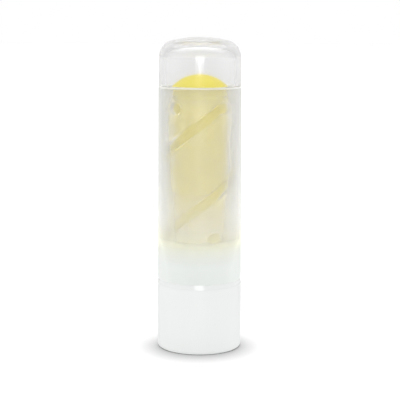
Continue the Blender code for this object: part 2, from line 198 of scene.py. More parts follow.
bm = bmesh.new()
bm.faces.new([bm.verts.new(corner) for corner in (
    (-FLOOR_SIDE, -FLOOR_FRONT, 0), (FLOOR_SIDE, -FLOOR_FRONT, 0),
    (FLOOR_SIDE, FLOOR_SIDE, 0), (-FLOOR_SIDE, FLOOR_SIDE, 0))])
floor_mesh = bpy.data.meshes.new("floor")
bm.to_mesh(floor_mesh)
bm.free()
floor = bpy.data.objects.new("floor", floor_mesh)
bpy.context.scene.collection.objects.link(floor)
print("floor, m:", [round(v, 2) for v in floor.dimensions[:2]])

# %% [markdown]
# ## White paper
#
# The sheet is matte, uncoated paper. One plain diffuse white would show it well, but the shadow would be
# too weak at the foot, and the clear plastic too bright. So an ambient occlusion node deepens the shadow
# close to the foot, where the real paper gets hardly any light.
#
# Clear plastic sees the paper a little darker than the camera does, as it sees the tent, and darkest
# close by, where the stick and the camera stand over it. That is a painted shade, full within 0.8 m of the
# stick and gone by 2.6 m. A faint glow, which only light that has already bounced once can see, stands
# for what the tent throws back up from beyond the edge of the paper.

# %% White paper
# The near colour is a painted shade round the stick, for rays other than the camera's.
PAPER_SHOWN, PAPER_NEAR_PAINTED_SHADE, PAPER_FAR = "#E0E0E0", "#BFBFBF", "#DCDCDC"
CONTACT_REACH, CONTACT_POWER, CONTACT_SAMPLES = 6.0 * MM, 0.6, 16
DARKEST_WITHIN, LIGHTEST_FROM = 0.8, 2.6
FLOOR_FILL = 0.45
BLACK = (0, 0, 0, 1)

paper, tree, output = new_material("white_paper_sweep")
path = add_node(tree, "ShaderNodeLightPath")
contact = add_node(tree, "ShaderNodeAmbientOcclusion", {"Distance": CONTACT_REACH}, samples=CONTACT_SAMPLES)
depth = add_node(tree, "ShaderNodeMath", {0: contact.outputs["AO"], 1: CONTACT_POWER}, operation="POWER")
shaded = add_node(tree, "ShaderNodeMix", {
    0: depth.outputs[0], 6: BLACK, 7: linear(PAPER_SHOWN)}, data_type="RGBA")
place = add_node(tree, "ShaderNodeTexCoord").outputs["Object"]
away = add_node(tree, "ShaderNodeVectorMath", {0: place}, operation="LENGTH")
# Painted shade: for rays other than the camera's, the paper darkens towards the stick.
sweep = add_node(tree, "ShaderNodeMapRange", {
    "Value": away.outputs["Value"], "From Min": DARKEST_WITHIN, "From Max": LIGHTEST_FROM})
paper_seen = add_node(tree, "ShaderNodeMix", {
    0: sweep.outputs["Result"], 6: linear(PAPER_NEAR_PAINTED_SHADE), 7: linear(PAPER_FAR)}, data_type="RGBA")
colour = add_node(tree, "ShaderNodeMix", {
    0: path.outputs["Is Camera Ray"], 6: paper_seen.outputs[2], 7: shaded.outputs[2]}, data_type="RGBA")
matte = add_node(tree, "ShaderNodeBsdfDiffuse", {"Color": colour.outputs[2]})
bounced = add_node(tree, "ShaderNodeMath", {
    0: path.outputs["Diffuse Depth"], 1: NO_BOUNCE}, operation="GREATER_THAN")
fill = add_node(tree, "ShaderNodeMath", {0: bounced.outputs[0], 1: FLOOR_FILL}, operation="MULTIPLY")
glow = add_node(tree, "ShaderNodeEmission", {"Color": WHITE, "Strength": fill.outputs[0]})
lit = add_node(tree, "ShaderNodeAddShader", {0: matte.outputs[0], 1: glow.outputs[0]})
tree.links.new(lit.outputs[0], output.inputs["Surface"])
floor_mesh.materials.append(paper)
print("paper nodes:", len(tree.nodes))

# %% [markdown]
# ## Lamps
#
# Lamps do what the tent doesn't. One large lamp could light everything, but its mirror image would fill
# the dome. So a softbox in front makes the streak on the dome and the bright dash in the seam. Its foot
# is narrower and dimmer, and so the streak runs out to a point, like a drop. A wide softbox overhead
# makes the bright crescent on the dome's shoulder. Both are left out of diffuse light, so that the white
# base stays even.
#
# The shadow comes from a broad sun, tilted a little to the back so that the shadow falls to the front. It
# is left out of gloss and of what clear plastic lets through.

# %% Lamps


def lamp(name, kind, place, target, hidden_from, **settings):
    """A lamp turned to its target and hidden from some kinds of light path."""
    data = bpy.data.lights.new(name, kind)
    for key, value in settings.items():
        setattr(data, key, value)
    made = aimed(bpy.data.objects.new(name, data), place, target)
    for kind_of_path in hidden_from:
        setattr(made, "visible_" + kind_of_path, False)
    print(f"{name}, power or strength: {data.energy:.3f}")


SOFTBOX_DISTANCE = 0.58
SOFTBOXES = (  # name, shape, half width, foot and top in metres, brightness
    ("softbox", "RECTANGLE", 0.132, 0.0425, 0.202, 3.7),
    ("softbox_foot", "ELLIPSE", 0.062, 0.034, 0.060, 2.0),
)
for name, shape, half_width, foot, top, brightness in SOFTBOXES:
    area = 2 * half_width * (top - foot) * (1 if shape == "RECTANGLE" else math.pi / 4)
    level = (foot + top) / 2
    lamp(name, "AREA", (0, -SOFTBOX_DISTANCE, level), (0, 0, level), ("camera", "diffuse"),
         shape=shape, size=2 * half_width, size_y=top - foot, energy=brightness * math.pi * area)

OVERHEAD_HEIGHT, OVERHEAD_BACK, OVERHEAD_LEAN = 0.50, 0.07, 0.001
OVERHEAD_WIDTH, OVERHEAD_DEPTH, OVERHEAD_ENERGY = 0.90, 0.30, 1.25
lamp("overhead_softbox", "AREA", (0, OVERHEAD_BACK, OVERHEAD_HEIGHT),
     (0, OVERHEAD_BACK - OVERHEAD_LEAN, 0), ("camera", "diffuse"),
     shape="RECTANGLE", size=OVERHEAD_WIDTH, size_y=OVERHEAD_DEPTH, energy=OVERHEAD_ENERGY)

SUN_TILT, SUN_SPREAD, SUN_LEVEL = math.radians(4), math.radians(12), 0.48
lamp("overhead", "SUN", (0, math.sin(SUN_TILT), math.cos(SUN_TILT)), (0, 0, 0),
     ("glossy", "transmission"), angle=SUN_SPREAD, energy=SUN_LEVEL * math.pi)

# %% [markdown]
# ## Turned shapes
#
# Every moulding here is round. Each is drawn as an outline of radius and height in millimetres, with a
# rounding at each corner, and turned about the axis in fine steps. A cylinder with a bevel modifier would
# be quicker, but it can't hold an inner wall of another shape. Clear plastic needs the fine steps: it
# bends light by its normals, and coarse steps would show as stripes.

# %% Outline with roundings
ARC_STEPS = 5
LONGEST_SETBACK = 0.48  # share of an edge that the rounding at one end may take up


def fillet(corners, closed):
    """Outline through (radius, height, rounding) corners, with an arc at each rounding."""
    outline = []
    for index, (r, z, rounding) in enumerate(corners):
        if rounding == 0 or (not closed and index in (0, len(corners) - 1)):
            outline.append((r, z))
            continue
        here = Vector((r, z))
        before = Vector(corners[index - 1][:2]) - here
        after = Vector(corners[(index + 1) % len(corners)][:2]) - here
        half = before.angle(after) / 2
        longest = LONGEST_SETBACK * min(before.length, after.length)
        setback = min(rounding / math.tan(half), longest)
        radius = setback * math.tan(half)
        bisector = (before.normalized() + after.normalized()).normalized()
        centre = here + bisector * radius / math.sin(half)
        arm = here + before.normalized() * setback - centre
        turn = arm.angle_signed(here + after.normalized() * setback - centre)
        for step in range(ARC_STEPS + 1):
            spoke = arm.copy()
            spoke.rotate(Matrix.Rotation(-turn * step / ARC_STEPS, 2))
            outline.append(tuple(centre + spoke))
    return outline


print("points of a square with rounded corners:", len(fillet(
    [(0, 0, 1), (9, 0, 1), (9, 9, 1), (0, 9, 1)], closed=True)))

# %% Object from a mesh
SHARP = math.radians(40)


def placed(name, bm):
    """Turns a bmesh drawn in millimetres into an object in metres, smooth but for its real edges."""
    bmesh.ops.recalc_face_normals(bm, faces=bm.faces)
    bmesh.ops.scale(bm, vec=(MM, MM, MM), verts=bm.verts)
    mesh = bpy.data.meshes.new(name)
    bm.to_mesh(mesh)
    bm.free()
    mesh.shade_smooth()
    mesh.set_sharp_from_angle(angle=SHARP)
    obj = bpy.data.objects.new(name, mesh)
    bpy.context.scene.collection.objects.link(obj)
    return obj


def settle(obj):
    """Applies the modifiers of a piece."""
    bpy.context.view_layer.update()
    mesh = bpy.data.meshes.new_from_object(obj.evaluated_get(bpy.context.evaluated_depsgraph_get()))
    obj.modifiers.clear()
    obj.data = mesh


print("edges are sharp from, degrees:", round(math.degrees(SHARP)))

# %% [markdown]
# ## Turning
#
# The outline is spun once about the axis. A long straight wall then meets a tiny rounding, and plain
# smooth shading would bend the wall's normals towards it, which smears every reflection. The Weighted
# Normal modifier lets the large faces lead, and the wall mirrors as a true cylinder.

# %% Turning
SIDES = 192
WELD = 0.0001


def lathe(name, outline, closed):
    """Turns an outline of (radius, height) points once about the axis."""
    bm = bmesh.new()
    verts = [bm.verts.new((r, 0, z)) for r, z in outline]
    ends = zip(verts, verts[1:] + verts[:1]) if closed else zip(verts, verts[1:])
    edges = [bm.edges.new(pair) for pair in ends]
    bmesh.ops.spin(bm, geom=verts + edges, cent=(0, 0, 0), axis=(0, 0, 1), angle=2 * math.pi,
                   steps=SIDES, use_merge=True)
    bmesh.ops.remove_doubles(bm, verts=bm.verts, dist=WELD)
    made = placed(name, bm)
    made.modifiers.new("large faces lead", "WEIGHTED_NORMAL").keep_sharp = True
    settle(made)
    return made


print("degrees a step:", 360 / SIDES)

# %% [markdown]
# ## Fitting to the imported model
#
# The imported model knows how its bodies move. Each piece could be moved by hand for every pose, but it is
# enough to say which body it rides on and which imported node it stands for. That node is then hidden, and
# goes on doing its work in the simulation.


def fit(piece, node, body):
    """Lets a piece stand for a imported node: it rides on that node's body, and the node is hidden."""
    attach(piece, body)
    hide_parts(node)
    low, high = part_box(node)
    heights = [v.co.z for v in piece.data.vertices]
    print(f"{piece.name}: height {(max(heights) - min(heights)) / MM:.2f} mm,"
          f" node {(high.z - low.z) / MM:.2f} mm, faces {len(piece.data.polygons)}")


# %% [markdown]
# ## Base
#
# The base is the opaque white shell that is held and turned. It is one moulding with a closed foot and an
# open top. From outside a bevelled cylinder would do, but the collar stands in its bore, and so it is
# turned with its inner wall. The foot has a visible rounding, and the rims at the seam are as good as
# sharp, so that the collar's line stays thin.

# %% Base
BASE_RADIUS, BASE_BORE, BASE_HEIGHT, BASE_FLOOR = 8.53, 7.33, 13.25, 1.3
FOOT_ROUNDING, FLOOR_ROUNDING, RIM_OUTSIDE, RIM_INSIDE = 0.6, 0.3, 0.03, 0.06

base = lathe("base_shell", fillet([
    (0, BASE_FLOOR, 0),
    (BASE_BORE, BASE_FLOOR, FLOOR_ROUNDING),
    (BASE_BORE, BASE_HEIGHT, RIM_INSIDE),
    (BASE_RADIUS, BASE_HEIGHT, RIM_OUTSIDE),
    (BASE_RADIUS, 0, FOOT_ROUNDING),
    (0, 0, 0),
], closed=False), closed=False)
fit(base, "base", "stick")

# %% [markdown]
# ## White plastic
#
# Base and collar are injection-moulded polypropylene, coloured white. The mould of the base was
# spark-eroded, which leaves a fine satin grain, so the base shows no mirror image but a soft sheen. The
# collar's mould was polished. A displaced mesh could carry the grain, but it is far too fine for that,
# and a bump is enough.
#
# The real grain is about 0.03 mm wide, less than a fifth of a pixel here. It is drawn 0.17 mm wide,
# nearly one pixel. A second, slow pattern of about 8 mm stands for the flow of the melt: it shifts
# roughness and tone a little.

# %% White plastic
PLASTIC_IOR = 1.49
GRAIN_WIDTH, GRAIN_DEPTH = 0.17 * MM, 0.02 * MM
FLOW_WIDTH, FLOW_ROUGHNESS, FLOW_TONE = 8.0 * MM, 0.13, 0.985


def white_plastic(name, colour, roughness, relief):
    """White polypropylene. Relief is how strongly the grain of its mould shows, from 0 to 1."""
    material, tree, output = new_material(name)
    place = add_node(tree, "ShaderNodeTexCoord").outputs["Object"]
    grain = add_node(tree, "ShaderNodeTexNoise", {"Vector": place, "Scale": 1 / GRAIN_WIDTH, "Detail": 2.0})
    flow = add_node(tree, "ShaderNodeTexNoise", {"Vector": place, "Scale": 1 / FLOW_WIDTH, "Detail": 3.0})
    rough = add_node(tree, "ShaderNodeMapRange", {
        "Value": flow.outputs["Fac"],
        "To Min": roughness * (1 - FLOW_ROUGHNESS), "To Max": roughness * (1 + FLOW_ROUGHNESS)})
    shade = linear(colour)
    tone = add_node(tree, "ShaderNodeValToRGB", {"Fac": flow.outputs["Fac"]},
                    stops=[(0.0, [c * FLOW_TONE for c in shade[:3]] + [1]), (1.0, shade)])
    bump = add_node(tree, "ShaderNodeBump", {
        "Height": grain.outputs["Fac"], "Strength": relief, "Distance": GRAIN_DEPTH})
    shader = add_node(tree, "ShaderNodeBsdfPrincipled", {
        "Base Color": tone.outputs["Color"], "Roughness": rough.outputs["Result"],
        "Normal": bump.outputs["Normal"], "IOR": PLASTIC_IOR,
        "Subsurface Weight": 0.1, "Subsurface Radius": (1.0, 1.0, 1.0), "Subsurface Scale": 1.0 * MM})
    tree.links.new(shader.outputs[0], output.inputs["Surface"])
    return material


base.data.materials.append(white_plastic("white_pp_spark_eroded", "#E9EBEA", roughness=0.45, relief=0.15))
print("base material nodes:", len(base.data.materials[0].node_tree.nodes))

# %% [markdown]
# ## Collar
#
# The collar is a white ring, pressed into the base. Only its flange shows, as a recessed line between
# base and cap. Above the flange it has a plug for the cap and a tube that the guide stands in, and below
# it a spigot with an inward lip. A groove painted on the base would give the line as well, but not its
# glint: the flange leans back by ten degrees and is polished, so its front mirrors the softbox and not
# the floor. That is the small bright dash in the seam.

# %% Collar
COLLAR_BORE, COLLAR_TUBE, COLLAR_PLUG, COLLAR_SPIGOT, COLLAR_LIP = 6.40, 7.00, 7.60, 7.28, 5.50
COLLAR_TOP, PLUG_TOP, LIP_TOP, COLLAR_FOOT = 20.40, 15.40, 9.35, 8.35
FLANGE_TOP, FLANGE_FOOT, FLANGE_TOP_RADIUS, FLANGE_FOOT_RADIUS = 14.27, 13.255, 8.32, 8.50
FLANGE_ROUNDING = 0.04
EDGE = 0.12  # the usual rounding of a moulded edge

collar = lathe("collar_ring", fillet([
    (COLLAR_BORE, COLLAR_TOP, EDGE),
    (COLLAR_TUBE, COLLAR_TOP, EDGE),
    (COLLAR_TUBE, PLUG_TOP, 0),
    (COLLAR_PLUG, PLUG_TOP, EDGE),
    (COLLAR_PLUG, FLANGE_TOP, 0),
    (FLANGE_TOP_RADIUS, FLANGE_TOP, FLANGE_ROUNDING),
    (FLANGE_FOOT_RADIUS, FLANGE_FOOT, 0),
    (COLLAR_SPIGOT, FLANGE_FOOT, 0),
    (COLLAR_SPIGOT, COLLAR_FOOT, EDGE),
    (COLLAR_LIP, COLLAR_FOOT, 0),
    (COLLAR_LIP, LIP_TOP, 0),
    (COLLAR_BORE, LIP_TOP, 0),
], closed=True), closed=True)
fit(collar, "collar", "stick")
collar.data.materials.append(white_plastic("white_pp_collar", "#EAECEB", roughness=0.06, relief=0.02))

# %% [markdown]
# ## Clear plastic
#
# The tubes and the cup are polypropylene without pigment, and the cap is SAN, a glass-clear plastic.
# Polypropylene is slightly milky. The milk could be a volume, but that takes a long and noisy render.
# Here each surface lets most light through and scatters a small share of it, forward or back, which looks
# the same through walls this thin.
#
# No wall scatters more than a quarter where what lies behind it should stay crisp: the denoiser looks
# through such a surface. Only the cup is milkier at its foot, where the yellow fades out. Polypropylene
# has an IOR of 1.49, and SAN about 1.57. The cap has 1.49 as well, and the inner parts have less, because
# the real ones lie behind a haze that takes the edge off their reflections.

# %% Shares by height
LOWEST, HIGHEST = 10.0, 60.0


def by_height(tree, stops):
    """A share or shade that changes with the height on the object. Stops are (height in mm, share)."""
    place = add_node(tree, "ShaderNodeTexCoord").outputs["Object"]
    height = add_node(tree, "ShaderNodeSeparateXYZ", {"Vector": place})
    climb = add_node(tree, "ShaderNodeMapRange", {
        "Value": height.outputs["Z"], "From Min": LOWEST * MM, "From Max": HIGHEST * MM})
    return add_node(tree, "ShaderNodeValToRGB", {"Fac": climb.outputs["Result"]}, stops=[
        ((mm - LOWEST) / (HIGHEST - LOWEST), share) for mm, share in stops]).outputs["Color"]


print("heights run over, mm:", HIGHEST - LOWEST)

# %% Clear plastic
INNER_IOR = 1.18
RIPPLE_WIDTH, RIPPLE_ROUGHNESS = 2.5 * MM, 0.2


def clear_plastic(name, milk, back, roughness, ior=PLASTIC_IOR, haze_colour="#FEFEFD"):
    """Clear plastic. Milk is the share of light that its surface scatters, back the part sent back."""
    material, tree, output = new_material(name)
    place = add_node(tree, "ShaderNodeTexCoord").outputs["Object"]
    ripple = add_node(tree, "ShaderNodeTexNoise", {
        "Vector": place, "Scale": 1 / RIPPLE_WIDTH, "Detail": 2.0})
    rough = add_node(tree, "ShaderNodeMapRange", {
        "Value": ripple.outputs["Fac"],
        "To Min": roughness * (1 - RIPPLE_ROUGHNESS), "To Max": roughness * (1 + RIPPLE_ROUGHNESS)})
    shader = add_node(tree, "ShaderNodeBsdfPrincipled", {
        "Base Color": WHITE, "Roughness": rough.outputs["Result"], "IOR": ior, "Transmission Weight": 1.0})
    ahead = add_node(tree, "ShaderNodeBsdfTranslucent", {"Color": linear(haze_colour)})
    behind = add_node(tree, "ShaderNodeBsdfDiffuse", {"Color": linear(haze_colour)})
    haze = add_node(tree, "ShaderNodeMixShader", {0: back, 1: ahead.outputs[0], 2: behind.outputs[0]})
    share = milk if isinstance(milk, float) else by_height(tree, milk)
    both = add_node(tree, "ShaderNodeMixShader", {0: share, 1: shader.outputs[0], 2: haze.outputs[0]})
    tree.links.new(both.outputs[0], output.inputs["Surface"])
    print(f"{name}: {len(tree.nodes)} nodes")
    return material


print("ripples of the surface, mm:", RIPPLE_WIDTH / MM)

# %% [markdown]
# ## Cutters
#
# The cam tube is a plain tube with tracks cut through its wall. A track is a band of one width that
# climbs about the axis, rounded at its foot, and runs over into a level rest. Such a band can be made
# with a curve and a bevel, but its sides would lean. Here its lower and upper edges are worked out at
# many stations along the wall, and a box is swept through them, so that its sides stand square to the
# wall as they do from a real mould.

# %% Edges of a track
END_ANGLES = (8, 20, 35, 50, 65, 80)
STATION_STEP = math.radians(3)


def track_stations(foot, rest_end, slope, half_width, wall_radius):
    """(along, low, high) of the track's edges, along the wall from the top of its climb, in millimetres."""
    reach = half_width * math.hypot(1, slope)
    lean = half_width * slope / math.hypot(1, slope)
    ends = [half_width * math.cos(math.radians(angle)) for angle in END_ANGLES]
    count = math.ceil(-foot / (STATION_STEP * wall_radius))
    places = [foot - end for end in ends] + [foot * (1 - step / count) for step in range(count + 1)]
    places += [foot - lean, foot + lean, (half_width - reach) / slope, (reach - half_width) / slope]
    places += [rest_end] + [rest_end + end for end in ends]
    stations = []
    for along in sorted(places):
        high = min(along * slope + reach, half_width)
        low = min(along * slope - reach, -half_width)
        if along < foot - lean:
            high = foot * slope + math.sqrt(half_width ** 2 - (along - foot) ** 2)
        if along < foot + lean:
            low = foot * slope - math.sqrt(half_width ** 2 - min(0, along - foot) ** 2)
        if along > rest_end:
            high = math.sqrt(half_width ** 2 - (along - rest_end) ** 2)
            low = -high
        stations.append((along, low, high))
    return stations


print("stations of a straight track of 10 mm:", len(track_stations(-10, 1, 1, 1, 5)))

# %% Swept cutters


def swept_cutter(stations, inner, outer, wall_radius, angle, height):
    """A band swept about the axis through the stations. The angle counts from the front towards +X."""
    bm = bmesh.new()
    rings = []
    for along, low, high in stations:
        turn = math.radians(angle - 90) + along / wall_radius
        rings.append([bm.verts.new((r * math.cos(turn), r * math.sin(turn), z + height))
                      for r, z in ((inner, low), (outer, low), (outer, high), (inner, high))])
    for ring, following in zip(rings, rings[1:]):
        for index in range(4):
            after = (index + 1) % 4
            bm.faces.new((ring[index], ring[after], following[after], following[index]))
    bm.faces.new(rings[0])
    bm.faces.new(rings[-1])
    return placed("cutter", bm)


def oval_stations(half_width, half_height, steps=16):
    """Stations of an oval about its centre."""
    angles = [math.pi * (step + 0.5) / steps for step in range(steps)]
    return [(-half_width * math.cos(a), -half_height * math.sin(a), half_height * math.sin(a))
            for a in angles]


print("stations of an oval:", len(oval_stations(1, 1)))

# %% [markdown]
# ## Cutting and joining
#
# A cut or a join is a Boolean modifier with the exact solver, applied at once. It leaves long thin faces
# on the turned walls, and smooth shading there would show as streaks. The faces could be mended by hand,
# but it is simpler to give each of them the true round normals of its wall.

# %% Cutting and joining
ALONG_RADIUS = 0.97  # cosine from which a face counts as part of a turned wall
SLACK = 0.02  # millimetres that a point may lie off its wall


def combine(piece, others, operation="DIFFERENCE"):
    """Cuts other meshes out of a piece, or joins them to it, and removes them."""
    for other in others:
        modifier = piece.modifiers.new("combine", "BOOLEAN")
        modifier.solver = "EXACT"
        modifier.object = other
        modifier.operation = operation
    settle(piece)
    for other in others:
        bpy.data.objects.remove(other)


def round_normals(piece, radii):
    """Gives the faces on the turned walls the true round normals, so that cuts leave no streaks."""
    mesh = piece.data
    mesh.set_sharp_from_angle(angle=SHARP)
    smooth = [corner.vector.copy() for corner in mesh.corner_normals]
    rounded = 0
    for polygon in mesh.polygons:
        for corner in polygon.loop_indices:
            co = mesh.vertices[mesh.loops[corner].vertex_index].co
            radial = Vector((co.x, co.y, 0)).normalized()
            side = polygon.normal.dot(radial)
            on_wall = any(abs(co.xy.length - r * MM) < SLACK * MM for r in radii)
            if abs(side) > ALONG_RADIUS and on_wall:
                smooth[corner] = radial * (1 if side > 0 else -1)
                rounded += 1
    mesh.normals_split_custom_set(smooth)
    print(f"{piece.name}: {rounded} round normals")


# %% [markdown]
# ## Cam tube
#
# The cam tube is what shows through the frosting. Its two tracks carry the lugs of the cup: when the base
# is turned, the stick climbs. The tracks show as slanting bands, darker than the rest, because there one
# milky wall less lies before the yellow stick. Next to the upper rest and near the foot it has small
# windows, and under the foot of each track a notch through which the lug gets in. A texture could fake
# all this from the front, but the tube turns, and so it is cut for real.

# %% Cam tube
CAM_BORE, CAM_RADIUS, CAM_FOOT, CAM_TOP = 6.47, 7.27, 20.50, 51.02
CAM_LEAD = 32.9
TRACK_TOP_ANGLE, TWIST, REST = 35.0, 288.0, 12.0
TRACK_FOOT, TRACK_TOP, TRACK_HALF_WIDTH = 22.90, 49.22, 1.0
NOTCH_HALF_WIDTH, NOTCH_DEPTH, NOTCH_LAP = 0.8, 2.4, 0.05
UPPER_WINDOW, UPPER_WINDOW_ANGLE = (1.25, 1.25), -41.0
LOWER_WINDOW, LOWER_WINDOW_ANGLE, LOWER_WINDOW_HEIGHT = (1.65, 1.15), 25.5, CAM_FOOT + 2.9
OVERSHOOT = 0.4  # how far a cutter stands out on both sides of the wall

wall_middle = (CAM_BORE + CAM_RADIUS) / 2
cam = lathe("cam_sleeve", fillet([
    (CAM_BORE, CAM_TOP, EDGE),
    (CAM_RADIUS, CAM_TOP, EDGE),
    (CAM_RADIUS, CAM_FOOT, EDGE),
    (CAM_BORE, CAM_FOOT, EDGE),
], closed=True), closed=True)
track = track_stations(
    -math.radians(TWIST) * wall_middle, math.radians(REST) * wall_middle,
    CAM_LEAD / (2 * math.pi * wall_middle), TRACK_HALF_WIDTH, wall_middle)
notch = [(-NOTCH_HALF_WIDTH, -NOTCH_DEPTH, 0.0), (NOTCH_HALF_WIDTH, -NOTCH_DEPTH, 0.0)]
cuts = (
    (track, TRACK_TOP_ANGLE, TRACK_TOP),
    (notch, TRACK_TOP_ANGLE - TWIST, TRACK_FOOT - NOTCH_LAP),
    (oval_stations(*UPPER_WINDOW), UPPER_WINDOW_ANGLE, TRACK_TOP),
    (oval_stations(*LOWER_WINDOW), LOWER_WINDOW_ANGLE, LOWER_WINDOW_HEIGHT),
)
combine(cam, [
    swept_cutter(stations, CAM_BORE - OVERSHOOT, CAM_RADIUS + OVERSHOOT, wall_middle, angle + side, height)
    for side in (0, 180) for stations, angle, height in cuts])
round_normals(cam, (CAM_BORE, CAM_RADIUS))
fit(cam, "cam_tube", "cam")

# %% [markdown]
# ## Polypropylene of the cam tube
#
# The tube is moulded in natural polypropylene, which is milky, and here it is milkiest towards the foot,
# where the photograph fades out. The cut faces of the tracks could share that material, but behind
# frosting their real glints are blurred away. So they have one of their own, which hardly bends the light
# at all, and whose haze is painted a light tan: a painted shade with the yellow cast of the wax, as the
# bands show it.

# %% Natural polypropylene of the cam tube
CAM_MILK = [(20.5, 0.24), (24.0, 0.22), (28.0, 0.15), (33.0, 0.08)]
CUT_IOR = 1.05
CUT_FACE = 0.5  # cosine under which a face counts as cut
END_BAND = 0.3  # millimetres at both ends of the tube that keep the tube's own material

cam.data.materials.append(clear_plastic(
    "natural_pp_cam", milk=CAM_MILK, back=0.95, roughness=0.2, ior=INNER_IOR))
# The tan haze of the cut faces is painted shade with the yellow cast of the wax.
cam.data.materials.append(clear_plastic(
    "natural_pp_track_edge", milk=0.12, back=0.9, roughness=0.2, ior=CUT_IOR, haze_colour="#F0E6CE"))
for polygon in cam.data.polygons:
    if abs(polygon.normal.dot(Vector((*polygon.center.xy, 0)).normalized())) < CUT_FACE:
        polygon.material_index = int(CAM_FOOT + END_BAND < polygon.center.z / MM < CAM_TOP - END_BAND)
print("cut faces of the cam tube:", sum(polygon.material_index for polygon in cam.data.polygons))

# %% [markdown]
# ## Guide tube
#
# The guide tube stands inside the cam tube and turns with the base. Its two straight slots hold the lugs
# upright, and its outward lip at the top is the fine line that shows just under the ledge of the cap. It
# is the clearest of the inner parts. The slots could be left out, because they hardly show, but then the
# lugs would pass through a wall. They are cut with the same swept cutter as the tracks, rounded at the
# top and open at the foot.

# %% Guide tube
GUIDE_BORE, GUIDE_RADIUS, GUIDE_FOOT, GUIDE_TOP = 5.80, 6.35, 9.45, 51.62
GUIDE_LIP, LIP_SLOPE, LIP_HEIGHT = 6.95, 0.33, 0.5
SLOT_HALF_WIDTH, SLOT_STEPS, SLOT_OVERSHOOT, SLOT_RUNOUT = 1.0, 12, 0.3, 1.0

guide = lathe("guide_sleeve", fillet([
    (GUIDE_BORE, GUIDE_TOP, EDGE),
    (GUIDE_RADIUS, GUIDE_TOP, 0),
    (GUIDE_LIP, GUIDE_TOP - LIP_SLOPE, 0),
    (GUIDE_LIP, GUIDE_TOP - LIP_HEIGHT, 0),
    (GUIDE_RADIUS, GUIDE_TOP - LIP_HEIGHT, 0),
    (GUIDE_RADIUS, GUIDE_FOOT, EDGE),
    (GUIDE_BORE, GUIDE_FOOT, EDGE),
], closed=True), closed=True)
slot_foot = GUIDE_FOOT - TRACK_TOP - SLOT_RUNOUT
slot = [(along, slot_foot, high)
        for along, low, high in oval_stations(SLOT_HALF_WIDTH, SLOT_HALF_WIDTH, SLOT_STEPS)]
combine(guide, [
    swept_cutter(slot, GUIDE_BORE - SLOT_OVERSHOOT, GUIDE_RADIUS + SLOT_OVERSHOOT,
                 (GUIDE_BORE + GUIDE_RADIUS) / 2, TRACK_TOP_ANGLE - TWIST + side, TRACK_TOP)
    for side in (0, 180)])
round_normals(guide, (GUIDE_BORE, GUIDE_RADIUS))
fit(guide, "guide_tube", "stick")
guide.data.materials.append(clear_plastic(
    "clear_pp_guide", milk=0.045, back=0.9, roughness=0.1, ior=INNER_IOR))

# %% [markdown]
# ## Elevator cup
#
# The cup holds the foot of the stick and carries it up. Four thin ribs inside bite into the wax, and two
# round lugs reach out through the slots into the tracks. Ribs and lugs could be separate boxes and
# cylinders pushed into the wall, but faces inside clear plastic would show. So they are made with the
# same swept cutters and joined to the cup. The wax closes round the ribs: a gap there would trap light
# and show as a dark line.

# %% Elevator cup
CUP_RADIUS, CUP_BORE, CUP_FOOT, CUP_TOP, CUP_FLOOR = 5.70, 5.20, 19.70, 32.20, 20.50
RIB_FOOT, RIB_HEIGHT, RIB_DEPTH, RIB_HALF = 20.10, 6.0, 0.9, 0.3
LUG_RADIUS, LUG_REACH, LUG_ANGLE = 0.85, 7.12, TRACK_TOP_ANGLE - TWIST
PRESS_GAP = -0.02  # the ribs stand this far in the wax

cup = lathe("cup_shell", fillet([
    (0, CUP_FLOOR, 0),
    (CUP_BORE, CUP_FLOOR, 0),
    (CUP_BORE, CUP_TOP, EDGE),
    (CUP_RADIUS, CUP_TOP, EDGE),
    (CUP_RADIUS, CUP_FOOT, EDGE),
    (0, CUP_FOOT, 0),
], closed=False), closed=False)
cup_wall = (CUP_BORE + CUP_RADIUS) / 2


def ribs(gap):
    """Cutters in the shape of the four ribs, or of the grooves that they press in the stick."""
    half = RIB_HALF + gap
    upright = [(-half, 0, RIB_HEIGHT + gap), (half, 0, RIB_HEIGHT + gap)]
    return [swept_cutter(upright, CUP_BORE - RIB_DEPTH - gap, cup_wall, CUP_BORE,
                         LUG_ANGLE + turn, RIB_FOOT) for turn in (45, 135, 225, 315)]


lugs = [swept_cutter(oval_stations(LUG_RADIUS, LUG_RADIUS), cup_wall, LUG_REACH, wall_middle,
                     LUG_ANGLE + turn, TRACK_FOOT) for turn in (0, 180)]
combine(cup, ribs(0) + lugs, "UNION")
round_normals(cup, (CUP_BORE, CUP_RADIUS))
fit(cup, "elevator_cup", "elevator")

# %% [markdown]
# ## Milky foot of the cup
#
# The cup is of the same natural polypropylene, and its foot shows as a pale yellow that fades into the
# white below. One even milkiness would be simpler, but its rim would show as an edge, and so the haze
# thins out towards the rim. Its haze is painted warm: painted light, with the yellow that light takes on
# where it has met the wax. The wax lies close against it and bends light nearly as it does, so the wall
# hardly mirrors anything, and a very low IOR gives that.

# %% Natural polypropylene of the cup
CUP_MILK = [(21.0, 0.50), (24.0, 0.30), (26.0, 0.24), (29.5, 0.12), (32.2, 0.02)]
CUP_IOR = 1.08

# The warm haze colour is painted light from the yellow wax.
cup.data.materials.append(clear_plastic(
    "natural_pp_cup", milk=CUP_MILK, back=0.95, roughness=0.2, ior=CUP_IOR, haze_colour="#FDFAD0"))

# %% [markdown]
# ## Sunscreen stick
#
# The stick was poured warm as a wax and oil balm, in a mould that gave it a low dome. Its foot is
# narrower and fills the cup. A cylinder under a flattened sphere would leave a kink at the rim, and so
# the dome is an arc of the outline, with a small rounding where it meets the side.

# %% Sunscreen stick
BULLET_RADIUS, BULLET_TOP, BULLET_SHOULDER, BULLET_RISE = 5.60, 55.77, 32.30, 2.46
STUB_RADIUS, BULLET_FOOT = 5.15, 20.60
DOME_STEPS, DOME_ROUNDING = 16, 0.3

